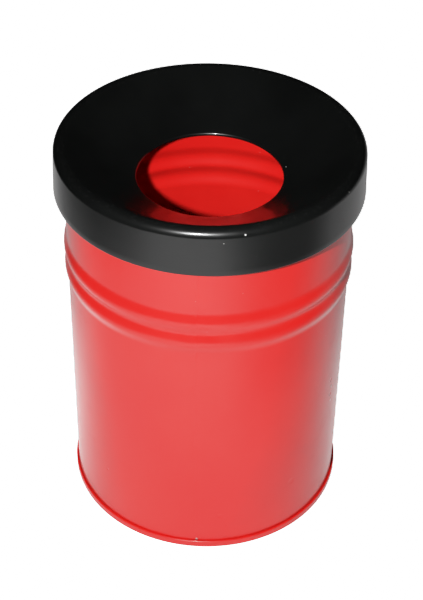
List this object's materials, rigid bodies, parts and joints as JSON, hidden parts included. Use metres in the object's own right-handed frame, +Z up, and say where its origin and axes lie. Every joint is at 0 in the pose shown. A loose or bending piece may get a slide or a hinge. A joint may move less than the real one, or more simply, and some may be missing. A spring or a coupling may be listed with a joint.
{
  "type": "self-extinguishing waste bin",
  "caption": "Cylindrical sheet steel waste bin with rolled beads, a double-seamed bottom and a lift-off flame-smothering funnel head with a central throat.",
  "frame": {"origin": "centre of the bin's foot, on the floor", "axes": "+Z up along the bin's axis, -Y towards the side that faces the viewer, with the side seam just left of it; +X to the viewer's right"},
  "size_m": [0.299, 0.299, 0.408],
  "materials": {
    "red_enamel": "gloss",
    "black_enamel": "gloss",
    "wire_steel": "satin",
    "compound": "matte",
    "buffer_rubber": "matte"
  },
  "bodies": {
    "bin": {"body_shell": "red_enamel", "side_seam": "red_enamel", "rim_wire": "wire_steel", "bottom_pan": "red_enamel", "seam_compound": "compound"},
    "head": {"head_shell": "black_enamel", "head_buffers": "buffer_rubber"}
  },
  "joints": [
    {"name": "head_lift", "type": "slide", "parent": "bin", "child": "head", "axis": [0, 0, 1], "range_m": [0, 0.15]}
  ]
}
